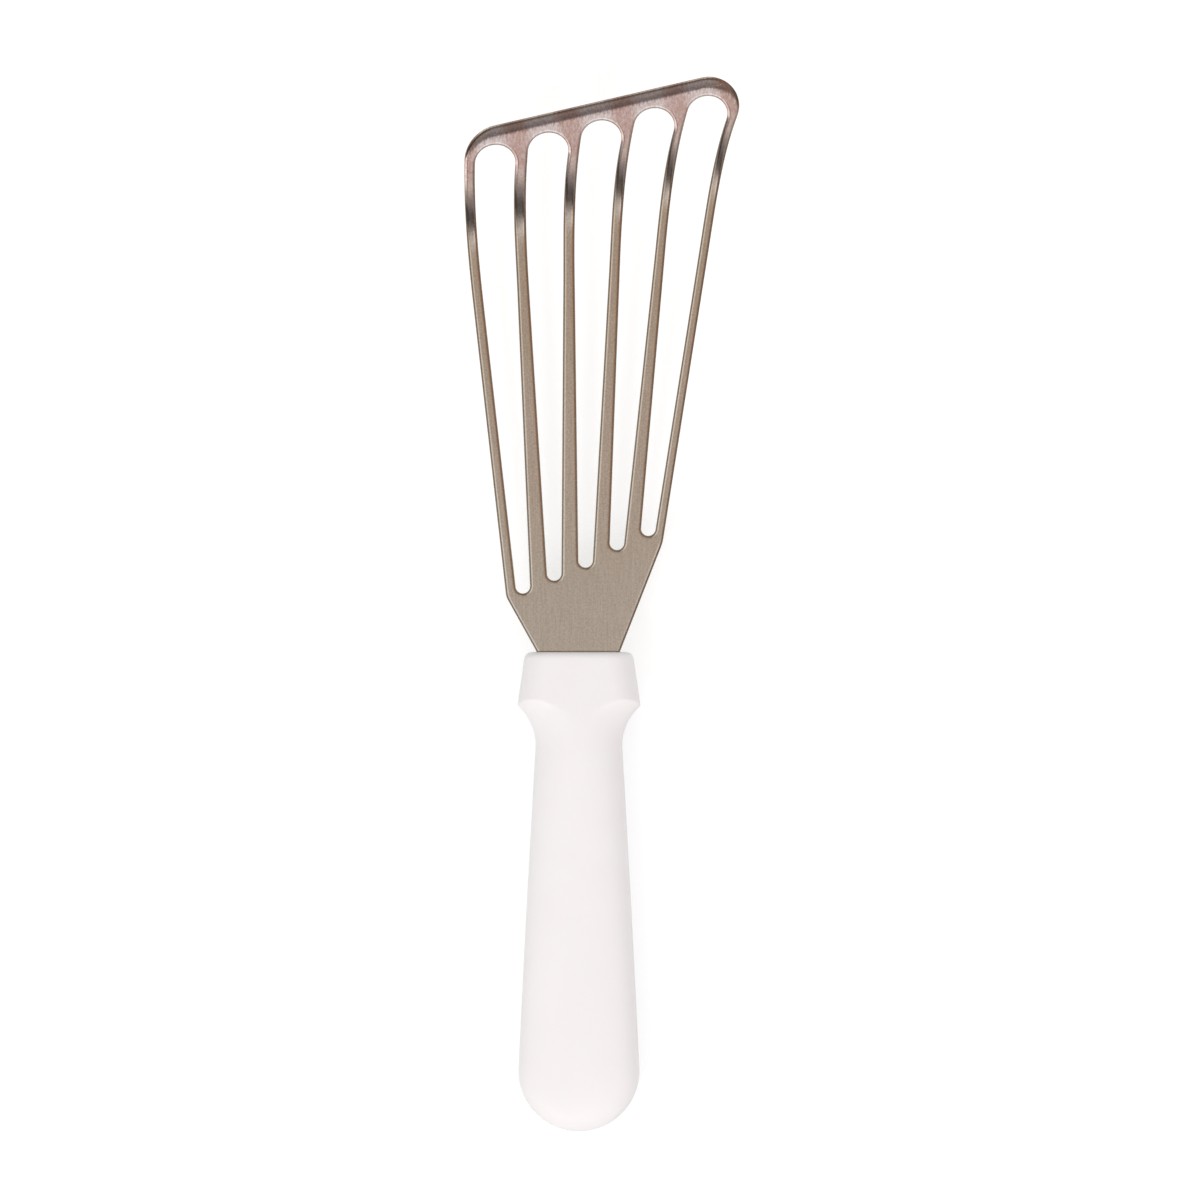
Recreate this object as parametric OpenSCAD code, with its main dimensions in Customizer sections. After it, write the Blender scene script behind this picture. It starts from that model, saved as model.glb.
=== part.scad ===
// Fish spatula: a slotted steel blade, turned up at its slanted tip, in a moulded handle.
// Millimetres. +Y runs from the handle to the tip, +Z is the side that the tip turns up to.
// The origin is below the middle of the whole tool, on the surface that it lies on.

/* [Blade] */
// Thickness of the sheet
blade_t = 1; // [0.8:0.1:1.4]
// Length that shows in front of the handle, along the handle's axis, seen from above
blade_len = 158.4; // [150:0.1:170]
// Slant of the tip and of the bend, in degrees
tip_skew = 13; // [9:0.5:15]
// Angle by which the tip turns up, in degrees
tip_rise = 25; // [15:1:30]
// Length of sheet in the bend
bend_len = 24; // [18:0.5:28]
// Width of the bar between the arches and the tip's edge
tip_bar = 6.2; // [5:0.1:7.5]
// Width of the ground bevel along the tip's edge
bevel_w = 3; // [1.5:0.1:3.5]
// Thickness left at the tip's ground edge
edge_t = 0.4; // [0.3:0.05:0.6]
// Width of the left outer rib
left_rib = 3.1; // [2.4:0.1:3.6]
// Width of the right outer rib
right_rib = 2.7; // [2.4:0.1:3.6]
// Radius of the left corner of the tip
left_corner = 11.3; // [7:0.1:12]
// Radius of the right corner of the tip
right_corner = 9.2; // [6:0.1:10]
// Width where the blade leaves the handle
root_w = 24.2; // [21:0.1:26]
// Sideways place of the root's middle
root_x = -0.2; // [-1:0.1:1]
// Height of the left shoulder above the handle
left_shoulder = 15.9; // [12:0.1:17]
// Height of the right shoulder above the handle
right_shoulder = 31.6; // [28:0.1:33]
// Radius of the left shoulder
left_shoulder_r = 5.5; // [1:0.5:8]
// Radius of the right shoulder
right_shoulder_r = 14; // [4:0.5:18]

/* [Slots] */
// Radius of a slot's closed lower end
slot_end_r = 2.1; // [1.6:0.05:2.4]
// Angle between a slot's two straight sides, in degrees
slot_taper = 3.95; // [3.2:0.05:4.3]
// Sideways place of the first slot's lower end
foot_x = -16.3; // [-17:0.1:-15.8]
// Step sideways from one lower end to the next
foot_pitch = 9.1; // [8.9:0.05:9.3]
// Height of the first slot's lower end above the handle
foot_1 = 19.1; // [18:0.1:24]
// Height of the second slot's lower end
foot_2 = 22.8; // [20:0.1:30]
// Height of the third slot's lower end
foot_3 = 26.6; // [24:0.1:34]
// Height of the fourth slot's lower end
foot_4 = 31.7; // [28:0.1:38]
// Height of the fifth slot's lower end
foot_5 = 35.8; // [35:0.1:42]
// Heading of the first slot, in degrees to the right of the handle's axis
fan_start = -4.45; // [-5:0.05:-4]
// Turn from one slot's heading to the next, in degrees
fan_step = 2.85; // [2.7:0.05:3]
// Length before the bend over which the slots begin to turn
ease_len = 14.5; // [8:0.5:18]
// Radius of the arches at the slots' wide ends
arch_r = 5.9; // [5.5:0.05:6.2]
// Step from one arch to the next along the tip
arch_pitch = 15.75; // [15.5:0.05:16]
// Place of the first arch along the tip
arch_1 = 8.2; // [7.6:0.1:8.8]
// Heading of the first arch, in degrees to the right of the handle's axis
arch_lean = 2; // [0:0.1:4]
// Turn from one arch's heading to the next, in degrees
arch_turn = 3.35; // [2.8:0.05:3.8]

/* [Tang] */
// Depth to which the full root enters the handle
seat_len = 4; // [2:0.5:8]
// Width of the tang
tang_w = 18; // [14:0.5:19]
// Length of the tang inside the handle
tang_len = 96; // [80:1:110]
// Diameter of the tang's round holes
hole_d = 7; // [4:0.5:8]
// Depth of the first hole behind the collar's front
hole_1_back = 34; // [28:1:42]
// Depth of the last hole behind the collar's front
hole_2_back = 80; // [66:1:84]
// Number of holes along the tang
hole_count = 3; // [2:1:3]
// Clearance of the moulding round the tang
tang_gap = 0.05; // [0.03:0.01:0.1]

/* [Handle] */
// Length of the handle
handle_len = 139; // [132:1:150]
// Width of the collar at its front
front_w = 31.2; // [30:0.1:33]
// Thickness of the collar at its front
front_t = 16; // [15.4:0.1:17]
// Width of the collar at the finger guard
guard_w = 35.7; // [34:0.1:38]
// Thickness of the collar at the finger guard
guard_t = 18.2; // [17.6:0.1:19]
// Depth of the guard's widest point behind the collar's front
guard_back = 15.5; // [13:0.1:17]
// Radius of the collar's long corners
collar_r = 7.9; // [5:0.1:8.4]
// Radius of the collar's front edge
front_r = 2; // [0.8:0.1:2.6]
// Width of the neck
neck_w = 25.1; // [23:0.1:27]
// Thickness of the neck
neck_t = 19; // [18.4:0.1:19.6]
// Depth of the neck behind the collar's front
neck_back = 27.2; // [26:0.1:32]
// Radius of the scoops between the neck and the guard
scoop_r = 15.4; // [12:0.1:18]
// Rise of the scoops' middle line, on either face, where their arc ends
spine_rise = 0.24; // [0.1:0.02:0.4]
// Width of the handle at its butt
butt_w = 35.1; // [30:0.1:38]
// Thickness of the handle at its butt
butt_t = 20.4; // [18:0.1:23]
// How far each side bows out between the neck and the butt
side_bow = 0.15; // [0:0.05:0.6]

/* [Hidden] */
$fn = 64;
steel = [0.62, 0.58, 0.53];
plastic = [0.95, 0.93, 0.92];
// Larger than the blade in every direction
far = 200;
slot_count = 5;
feet = [foot_1, foot_2, foot_3, foot_4, foot_5];
// Steps round the bend, along the turning part of a slot's side, round its ends and round a corner
bend_steps = 16;
side_steps = 12;
end_steps = 16;
corner_steps = 12;
// Exponents of the grip's rounded section at the neck and at the butt, and of the butt's end
neck_power = 2.05;
butt_power = 3.2;
end_power = 3;
// Exponent of the rise of the scoops' middle line
rise_power = 4;
// The scoop leaves its arc for a straight flare at this slope, in degrees
flare_slope = 45;
// Points round a section of the handle, and rings along its four stretches
section_points = 48;
edge_rings = 3;
collar_rings = 4;
scoop_rings = 10;
grip_rings = 10;
butt_rings = 10;

function mix(a, b, t) = a + (b - a) * t;
function unit(v) = v / norm(v);
// Unit vectors for a heading in degrees to the right of the handle's axis, and to its right hand
function ahead(a) = [sin(a), cos(a)];
function right(a) = [cos(a), -sin(a)];

// Directions along the slanted tip and square to it
tip_u = right(-tip_skew);
tip_v = ahead(-tip_skew);

// The sheet's middle plane is bent on this radius, between these two rows square to the tip
bend_r = bend_len / (tip_rise * PI / 180);
tip_row = blade_len * cos(tip_skew);
arch_drop = (tip_bar + arch_r) * cos(tip_rise);
bend_end = tip_row - arch_drop;
bend_start = bend_end - bend_r * sin(tip_rise);
bend_height = bend_r * (1 - cos(tip_rise));

// The blank is drawn flat. Rows of the blank, measured along the sheet, square to the tip
flat_arch_row = bend_start + bend_len;
flat_tip_row = flat_arch_row + arch_r + tip_bar;
flat_ease_row = bend_start - ease_len;

// Distance seen from above of a row of the blank, once its tip is turned up
function seen_row(w) =
    w <= bend_start ? w
    : w <= flat_arch_row ? bend_start + bend_r * sin((w - bend_start) / bend_r * 180 / PI)
    : bend_end + (w - flat_arch_row) * cos(tip_rise);
// Place seen from above of a point of the blank
function seen(p) = (p * tip_u) * tip_u + seen_row(p * tip_v) * tip_v;

// One slot of the blank: its lower end, its heading, and the arch at its wide end
function foot_at(i) = [foot_x + i * foot_pitch, feet[i]];
function heading(i) = fan_start + i * fan_step;
function arch_at(i) = (arch_1 + i * arch_pitch) * tip_u + flat_arch_row * tip_v;
function arch_heading(i) = arch_lean + i * arch_turn;
function straight_len(i) = (flat_ease_row - foot_at(i) * tip_v) / (ahead(heading(i)) * tip_v);
function turn_start(i) = foot_at(i) + straight_len(i) * ahead(heading(i));
half_taper = slot_taper / 2;
function straight_half(i, s) = slot_end_r / cos(half_taper) + s * tan(half_taper);
// The sides meet the arch where they are tangent to it, a little before its middle
function arch_start(i) = arch_at(i) - arch_r * sin(half_taper) * ahead(arch_heading(i));

// Middle line and half width of the turning part, for t from 0 at the straight to 1 at the arch
function reach(i) = norm(arch_start(i) - turn_start(i));
function middle(i, t) =
    let (a = turn_start(i), d = arch_start(i), third = reach(i) / 3,
         b = a + third * ahead(heading(i)), c = d - third * ahead(arch_heading(i)))
    pow(1 - t, 3) * a + 3 * t * pow(1 - t, 2) * b + 3 * t * t * (1 - t) * c + pow(t, 3) * d;
function course(i, t) =
    let (step = 0.001, v = middle(i, t + step) - middle(i, t - step)) atan2(v[0], v[1]);
function half_width(i, t) =
    let (a = straight_half(i, straight_len(i)), rise = reach(i) * tan(half_taper))
    mix(a, arch_r * cos(half_taper), t * t * (3 - 2 * t)) + rise * t * (1 - t) * (1 - 2 * t);

// Points up one side of a slot, at a distance outside it: side is -1 on the left, 1 on the right
function side_line(i, side, out) = [
    for (k = [0:side_steps])
        let (t = k / side_steps)
        middle(i, t) + side * (half_width(i, t) + out) * right(course(i, t))
];
function foot_corner(i, side) = foot_at(i) + side * slot_end_r * right(heading(i) + side * half_taper);
// Points round the end of a slot, as far as reach degrees to either side of the heading a
function round_end(m, r, a, reach) =
    [for (k = [1:end_steps - 1]) m + r * ahead(a + reach * (2 * k / end_steps - 1))];
function backwards(list) = [for (k = [len(list) - 1:-1:0]) list[k]];
function slot_points(i) = concat(
    [foot_corner(i, -1)], side_line(i, -1, 0),
    round_end(arch_at(i), arch_r, arch_heading(i), 90 + half_taper),
    backwards(side_line(i, 1, 0)), [foot_corner(i, 1)],
    round_end(foot_at(i), slot_end_r, heading(i) + 180, 90 - half_taper)
);

// Middle and points of the arc that rounds the corner b between a and c
function arc_middle(a, b, c, r) =
    let (u = unit(a - b), v = unit(c - b)) b + unit(u + v) * r / sin(acos(u * v) / 2);
function rounded(a, b, c, r) =
    let (m = arc_middle(a, b, c, r), u = unit(a - b), v = unit(c - b),
         tangent = r / tan(acos(u * v) / 2), p = b + u * tangent - m, q = b + v * tangent - m,
         start = atan2(p[1], p[0]), turn = atan2(p[0] * q[1] - p[1] * q[0], p * q))
    [for (k = [0:corner_steps]) let (a = start + turn * k / corner_steps) m + r * [cos(a), sin(a)]];

// Outer edges of the blank, which keep an outer rib's width from the outermost slots
last = slot_count - 1;
left_edge = side_line(0, -1, left_rib);
right_edge = side_line(last, 1, right_rib);
function down_to(p, a, y) = p - ahead(a) * (p[1] - y) / cos(a);
function up_to_tip(p, a) = p + ahead(a) * (flat_tip_row - p * tip_v) / (ahead(a) * tip_v);
left_hip = down_to(left_edge[0], heading(0) - half_taper, left_shoulder);
right_hip = down_to(right_edge[0], heading(last) + half_taper, right_shoulder);
left_tip = up_to_tip(left_edge[side_steps], arch_heading(0) - half_taper);
right_tip = up_to_tip(right_edge[side_steps], arch_heading(last) + half_taper);
root_left = [root_x - root_w / 2, 0];
root_right = [root_x + root_w / 2, 0];
blank = concat(
    [root_left], rounded(root_left, left_hip, left_edge[0], left_shoulder_r), left_edge,
    rounded(left_edge[side_steps], left_tip, right_tip, left_corner),
    rounded(left_tip, right_tip, right_edge[side_steps], right_corner),
    backwards(right_edge), rounded(right_edge[0], right_hip, root_right, right_shoulder_r), [root_right]
);
outline = [for (p = blank) seen(p)];

// Where the whole tool lies: its middle along X and Y, and the height of the sheet's middle plane
outline_x = [for (p = outline) p[0]];
outline_y = [for (p = outline) p[1]];
mid_x = (min(outline_x) + max(outline_x)) / 2;
mid_y = (max(outline_y) - handle_len) / 2;
sheet_z = max(guard_t, butt_t) / 2;

// Half sizes of the handle's sections at depth d behind the collar's front. The collar's faces run
// on past the guard to where the scoops meet them
butt_back = handle_len - butt_w / 2;
function collar_half(d) = [
    mix(front_w, guard_w, d / guard_back) / 2,
    mix(front_t, guard_t, d / guard_back) / 2
];
// The long corners are never larger than half the collar's front
corner_r = min(collar_r, front_t / 2);
arc_depth = scoop_r * sin(flare_slope);
arc_rise = scoop_r * (1 - cos(flare_slope));
function flare(d) =
    let (x = neck_back - d)
    x <= arc_depth ? scoop_r - sqrt(scoop_r * scoop_r - x * x)
    : arc_rise + (x - arc_depth) * tan(flare_slope);
function scoop_half(d) = [
    neck_w / 2 + flare(d),
    neck_t / 2 + spine_rise * pow(flare(d) / arc_rise, rise_power)
];
function grip_half(s) = [
    mix(neck_w, butt_w, s) / 2 + side_bow * sin(180 * s),
    mix(neck_t, butt_t, s) / 2
];

// Distance from the middle of a section to its outline, in the direction a
function oval(a, half, power) =
    pow(pow(abs(cos(a)) / half[0], power) + pow(abs(sin(a)) / half[1], power), -1 / power);
function soft_box(a, half, r) =
    let (c = abs(cos(a)), s = abs(sin(a)), x = half[0] - r, y = half[1] - r, m = c * x + s * y)
    s * x >= c * half[1] ? half[1] / s
    : c * y >= s * half[0] ? half[0] / c
    : m + sqrt(m * m - x * x - y * y + r * r);

// Depth of the crest where the scoop meets the collar, found by halving
function crest(a, low, high, steps) =
    let (d = (low + high) / 2)
    steps == 0 ? d
    : oval(a, scoop_half(d), neck_power) > soft_box(a, collar_half(d), corner_r)
        ? crest(a, d, high, steps - 1)
        : crest(a, low, d, steps - 1);
crest_steps = 20;

// Directions of the points round a section, closer together at the thin sides
directions = [
    for (k = [0:section_points - 1])
        let (a = 360 * k / section_points) atan2(butt_t * sin(a), butt_w * cos(a))
];
crests = [for (a = directions) crest(a, front_r, neck_back, crest_steps)];

// A ring is a list of [direction, distance, depth]
front_edge = [
    for (j = [0:edge_rings])
        let (q = 90 * j / edge_rings, inset = front_r * (1 - sin(q)), d = front_r * (1 - cos(q)))
        [for (a = directions) [a, soft_box(a, collar_half(d) - [inset, inset], corner_r - inset), d]]
];
collar = [
    for (j = [1:collar_rings])
        [for (k = [0:section_points - 1])
            let (a = directions[k], d = mix(front_r, crests[k], j / collar_rings))
            [a, soft_box(a, collar_half(d), corner_r), d]]
];
scoop = [
    for (j = [1:scoop_rings])
        [for (k = [0:section_points - 1])
            let (a = directions[k], d = mix(crests[k], neck_back, j / scoop_rings))
            [a, oval(a, scoop_half(d), neck_power), d]]
];
grip = [
    for (j = [1:grip_rings])
        let (s = j / grip_rings, power = mix(neck_power, butt_power, s))
        [for (a = directions) [a, oval(a, grip_half(s), power), mix(neck_back, butt_back, s)]]
];
butt = [
    for (j = [1:butt_rings - 1])
        let (q = 90 * j / butt_rings, x = sin(q),
             half = [butt_w / 2 * cos(q), butt_t / 2 * pow(1 - pow(x, end_power), 1 / end_power)])
        [for (a = directions) [a, oval(a, half, butt_power), butt_back + butt_w / 2 * x]]
];
rings = concat(front_edge, collar, scoop, grip, butt);
ring_points = [
    for (ring = rings)
        for (p = ring) [p[1] * cos(p[0]), -p[2], p[1] * sin(p[0])]
];
end_points = [[0, 0, 0], [0, -handle_len, 0]];
front_index = len(ring_points);

// Triangles between ring j and the next, mirrored from one quarter of the section to the next
function corner_index(j, k) = j * section_points + k % section_points;
function ring_faces(j) = [
    for (k = [0:section_points - 1])
        let (a = corner_index(j, k), b = corner_index(j, k + 1),
             c = corner_index(j + 1, k + 1), d = corner_index(j + 1, k),
             flip = floor(4 * k / section_points) % 2 == 0)
        for (face = flip ? [[a, c, b], [a, d, c]] : [[a, d, b], [b, d, c]]) face
];
last_ring = len(rings) - 1;
handle_faces = concat(
    [for (k = [0:section_points - 1]) [corner_index(0, k), corner_index(0, k + 1), front_index]],
    [for (j = [0:last_ring - 1]) for (face = ring_faces(j)) face],
    [for (k = [0:section_points - 1])
        [corner_index(last_ring, k + 1), corner_index(last_ring, k), front_index + 1]]
);

// Moves what is drawn round the collar's front to the tool's own origin
module on_surface() {
    translate([-mid_x, -mid_y, sheet_z]) children();
}

// Moves what is drawn on the flat turned-up tip to its place
module on_tip() {
    rotate([0, 0, tip_skew]) translate([0, bend_end, bend_height]) rotate([tip_rise, 0, 0]) children();
}

// Side view of one face of the bent sheet, side being -1 below and 1 above
function sheet_side(side) =
    let (h = side * blade_t / 2, start = [bend_start, h], r = bend_r - h)
    concat(
        [start - [far, 0]],
        [for (k = [0:bend_steps])
            let (a = tip_rise * k / bend_steps) [bend_start + r * sin(a), bend_r - r * cos(a)]],
        [[bend_end, bend_height] + far / 4 * [cos(tip_rise), sin(tip_rise)]
            + h * [-sin(tip_rise), cos(tip_rise)]]
    );

// The bent strip of sheet from which the outline is cut
module bent_sheet() {
    rotate([90, 0, 90 + tip_skew]) linear_extrude(far, center = true)
        polygon(concat(sheet_side(-1), backwards(sheet_side(1))));
}

module slot(i) {
    linear_extrude(far, center = true) polygon([for (p = slot_points(i)) seen(p)]);
}

// Section of what the grinding takes off, with the ground edge at x = 0
module bevel_section() {
    drop = blade_t - edge_t;
    top = blade_t / 2;
    polygon([[-bevel_w, top], [bevel_w, top - 2 * drop], [bevel_w, top + 1], [-bevel_w, top + 1]]);
}

// The bevel runs along the tip, turns the right corner on a wider arc and fades out there
module bevel() {
    tip_len = arch_r + tip_bar;
    corner = arc_middle(left_tip, right_tip, right_edge[side_steps], right_corner);
    turn_x = corner * tip_u;
    turn_r = 1.6 * right_corner;
    // The straight part runs on a little way into the turn, so that no fin stands between them
    overlap = 0.05;
    on_tip() {
        translate([turn_x - far, tip_len, 0])
            rotate([90, 0, 90]) linear_extrude(far + overlap) bevel_section();
        translate([turn_x, tip_len - turn_r, 0])
            rotate_extrude(angle = 90, $fn = 360) translate([turn_r, 0]) bevel_section();
    }
}

// The root and the tang behind it, larger all round by gap
module tang(gap) {
    thick = blade_t + 2 * gap;
    reach = tang_len - tang_w / 2;
    translate([root_x - root_w / 2 - gap, -seat_len - gap, -thick / 2])
        cube([root_w + 2 * gap, seat_len + gap, thick]);
    translate([-tang_w / 2 - gap, -reach, -thick / 2]) cube([tang_w + 2 * gap, reach - seat_len, thick]);
    translate([0, -reach, -thick / 2]) cylinder(r = tang_w / 2 + gap, h = thick);
}

// Round pins at the places of the tang's holes
module tang_pins(d) {
    for (i = [0:hole_count - 1])
        translate([0, -mix(hole_1_back, hole_2_back, i / (hole_count - 1)), 0])
            cylinder(d = d, h = 4 * blade_t, center = true);
}

module blade() {
    color(steel) on_surface() difference() {
        union() {
            intersection() {
                linear_extrude(far, center = true) polygon(outline);
                bent_sheet();
            }
            tang(0);
        }
        for (i = [0:last]) slot(i);
        bevel();
        tang_pins(hole_d);
    }
}

module handle() {
    color(plastic) on_surface() difference() {
        polyhedron(concat(ring_points, end_points), handle_faces, convexity = 6);
        difference() {
            union() {
                tang(tang_gap);
                translate([root_x - root_w / 2 - tang_gap, -1, -blade_t / 2 - tang_gap])
                    cube([root_w + 2 * tang_gap, 2, blade_t + 2 * tang_gap]);
            }
            tang_pins(hole_d - 2 * tang_gap);
        }
    }
}

blade();
handle();
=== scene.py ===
"""Looks of a fish spatula: a slotted steel blade, turned up at its tip, in a white moulded handle.

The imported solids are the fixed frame. Each of the two pieces is rebuilt here from the same sizes
with rounded edges and fine surfaces, and dressed with procedural steel and plastic.
"""

from __future__ import annotations

import logging
import math
from dataclasses import dataclass, field
from enum import Enum

import bmesh
import bpy
import numpy as np
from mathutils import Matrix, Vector
from mathutils.geometry import tessellate_polygon

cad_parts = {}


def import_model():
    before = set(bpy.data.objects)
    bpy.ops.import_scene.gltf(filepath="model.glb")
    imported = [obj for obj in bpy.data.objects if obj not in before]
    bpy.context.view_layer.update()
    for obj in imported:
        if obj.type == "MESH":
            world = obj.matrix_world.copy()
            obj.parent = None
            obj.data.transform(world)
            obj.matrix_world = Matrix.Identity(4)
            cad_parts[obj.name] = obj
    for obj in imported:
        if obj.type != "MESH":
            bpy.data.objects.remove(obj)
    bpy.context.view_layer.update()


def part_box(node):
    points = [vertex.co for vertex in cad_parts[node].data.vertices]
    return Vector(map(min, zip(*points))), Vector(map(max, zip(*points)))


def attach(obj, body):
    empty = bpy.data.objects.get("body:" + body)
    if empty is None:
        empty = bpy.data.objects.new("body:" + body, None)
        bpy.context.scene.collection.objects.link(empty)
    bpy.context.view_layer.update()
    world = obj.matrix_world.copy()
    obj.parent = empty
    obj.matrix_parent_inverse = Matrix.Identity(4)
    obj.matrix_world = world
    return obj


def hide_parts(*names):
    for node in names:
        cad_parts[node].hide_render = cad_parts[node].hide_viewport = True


log = logging.getLogger("spatula")
MM = 0.001
SNAP = 1e-6
TINY = 1e-9
WHITE = (1.0, 1.0, 1.0, 1.0)
Points = np.ndarray
Socket = bpy.types.NodeSocket
Pair = tuple[float, float]
Triple = tuple[float, float, float]
Stops = tuple[tuple[float, Triple], ...]


def metres(*marks: float) -> tuple[float, ...]:
    """Turns lengths in millimetres into metres."""
    return tuple(MM * mark for mark in marks)


def ahead(angle: float) -> Points:
    """Unit vector for a heading in degrees to the right of the handle's axis."""
    return np.array([math.sin(math.radians(angle)), math.cos(math.radians(angle))])


def right(angle: float) -> Points:
    """Unit vector to the right hand of a heading in degrees."""
    return np.array([math.cos(math.radians(angle)), -math.sin(math.radians(angle))])


def offset_loop(loop: Points, distance: float) -> Points:
    """Moves a closed loop to its left-hand side.

    Args:
        loop: Points of the loop, in order.
        distance: How far the loop moves.

    Returns:
        The moved points, as many as before.
    """
    before = loop - np.roll(loop, 1, axis=0)
    after = np.roll(loop, -1, axis=0) - loop
    before /= np.linalg.norm(before, axis=1)[:, None]
    after /= np.linalg.norm(after, axis=1)[:, None]
    left_before = np.c_[-before[:, 1], before[:, 0]]
    left_after = np.c_[-after[:, 1], after[:, 0]]
    both = left_before + left_after
    return loop + both * (2 * distance / (both**2).sum(axis=1))[:, None]


def turned(loop: Points, left: bool) -> Points:
    """Orders a closed loop round its inside.

    Args:
        loop: Points of the loop, in order.
        left: Whether the inside is to lie to the left of the loop, or else to the right.

    Returns:
        The points, in the same order or in reverse.
    """
    ahead_of = np.roll(loop, -1, axis=0)
    area = (loop[:, 0] * ahead_of[:, 1] - loop[:, 1] * ahead_of[:, 0]).sum()
    return loop if (area > 0) == left else loop[::-1]


def soft_ramp(x: Points, ease: float) -> Points:
    """A ramp that rises from zero at x = 0, rounded over the distance ease to both sides."""
    return np.where(x < -ease, 0, np.where(x > ease, x, (x + ease) ** 2 / (4 * ease)))


def rounded_corner(
    a: Points, b: Points, c: Points, radius: float, steps: int
) -> tuple[Points, Points]:
    """Rounds the corner b between a and c.

    Args:
        a: Point before the corner.
        b: The corner.
        c: Point after the corner.
        radius: Radius of the rounding.
        steps: Number of chords round it.

    Returns:
        The points of the arc, and its middle.
    """
    u = (a - b) / np.linalg.norm(a - b)
    v = (c - b) / np.linalg.norm(c - b)
    opening = math.acos(u @ v)
    middle = b + (u + v) / np.linalg.norm(u + v) * radius / math.sin(opening / 2)
    tangent = radius / math.tan(opening / 2)
    p, q = b + u * tangent - middle, b + v * tangent - middle
    start = math.atan2(p[1], p[0])
    turn = math.atan2(p[0] * q[1] - p[1] * q[0], p @ q)
    angles = start + turn * np.linspace(0, 1, steps + 1)
    return middle + radius * np.c_[np.cos(angles), np.sin(angles)], middle


def mesh_object(name: str, bm: bmesh.types.BMesh) -> bpy.types.Object:
    """Makes a smooth-shaded object from a mesh that is being built.

    Args:
        name: Name of the object.
        bm: The mesh that is being built. It is freed.

    Returns:
        The object, in the scene.
    """
    bmesh.ops.recalc_face_normals(bm, faces=bm.faces)
    mesh = bpy.data.meshes.new(name)
    bm.to_mesh(mesh)
    bm.free()
    mesh.polygons.foreach_set("use_smooth", [True] * len(mesh.polygons))
    piece = bpy.data.objects.new(name, mesh)
    bpy.context.scene.collection.objects.link(piece)
    return piece


@dataclass(frozen=True)
class Grain:
    """A noise over a surface, and how much its pattern is squeezed along the tool."""

    scale: float
    detail: float
    rough: float
    squeeze: float = 1.0


class Graph:
    """Short way to build the nodes of a material or a world."""

    def __init__(self, tree: bpy.types.NodeTree) -> None:
        """Clears the tree that is to be built."""
        self.tree = tree
        tree.nodes.clear()

    def add(self, kind: str, inputs: dict | None = None, **settings: object) -> bpy.types.Node:
        """Adds a node.

        Args:
            kind: Node type without its ShaderNode prefix.
            inputs: Socket name or number to a value or to another node's socket.
            settings: Properties of the node.

        Returns:
            The new node.
        """
        node = self.tree.nodes.new("ShaderNode" + kind)
        for key, value in settings.items():
            setattr(node, key, value)
        for key, value in (inputs or {}).items():
            if isinstance(value, Socket):
                self.tree.links.new(value, node.inputs[key])
            else:
                node.inputs[key].default_value = value
        return node

    def math(self, operation: str, *values: object, clamp: bool = False) -> Socket:
        """Adds a Math node and returns its result."""
        node = self.add("Math", dict(enumerate(values)), operation=operation, use_clamp=clamp)
        return node.outputs[0]

    def dot(self, vector: Socket, way: Triple) -> Socket:
        """Length of a vector along a direction."""
        return self.add("VectorMath", {0: vector, 1: way}, operation="DOT_PRODUCT").outputs["Value"]

    def grey(self, value: Socket) -> Socket:
        """Grey colour of a value."""
        return self.add("CombineColor", {0: value, 1: value, 2: value}).outputs[0]

    def noise(self, place: Socket, grain: Grain) -> Socket:
        """Adds a Noise Texture.

        Args:
            place: Place on the piece.
            grain: The noise's size and roughness.

        Returns:
            Its value.
        """
        if grain.squeeze != 1.0:
            scale = (1, grain.squeeze, 1)
            place = self.add("Mapping", {"Vector": place, "Scale": scale}).outputs[0]
        inputs = {
            "Vector": place,
            "Scale": grain.scale,
            "Detail": grain.detail,
            "Roughness": grain.rough,
        }
        return self.add("TexNoise", inputs).outputs[0]

    def span(
        self, value: Socket, low: float, high: float, to_low: float = 0, to_high: float = 1
    ) -> Socket:
        """Maps a range of values smoothly to another, and clamps it."""
        inputs = {0: value, 1: low, 2: high, 3: to_low, 4: to_high}
        return self.add("MapRange", inputs, interpolation_type="SMOOTHSTEP").outputs[0]

    def mix(self, amount: object, a: object, b: object, blend: str = "MIX") -> Socket:
        """Mixes two colours.

        Args:
            amount: Share of the second colour.
            a: The first colour.
            b: The second colour.
            blend: How the second is laid on the first.

        Returns:
            The mixed colour.
        """
        node = self.add("Mix", data_type="RGBA", blend_type=blend)
        for key, value in ((0, amount), (6, a), (7, b)):
            if isinstance(value, Socket):
                self.tree.links.new(value, node.inputs[key])
            else:
                node.inputs[key].default_value = value
        return node.outputs[2]

    def ramp(self, value: Socket, stops: Stops) -> Socket:
        """Adds a Color Ramp.

        Args:
            value: Place on the ramp, from 0 to 1.
            stops: Places and colours of its stops.

        Returns:
            Its colour.
        """
        node = self.add("ValToRGB", {0: value})
        elements = node.color_ramp.elements
        while len(elements) < len(stops):
            elements.new(0.5)
        for element, (place, colour) in zip(elements, stops):
            element.position = place
            element.color = (*colour, 1)
        return node.outputs[0]


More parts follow.
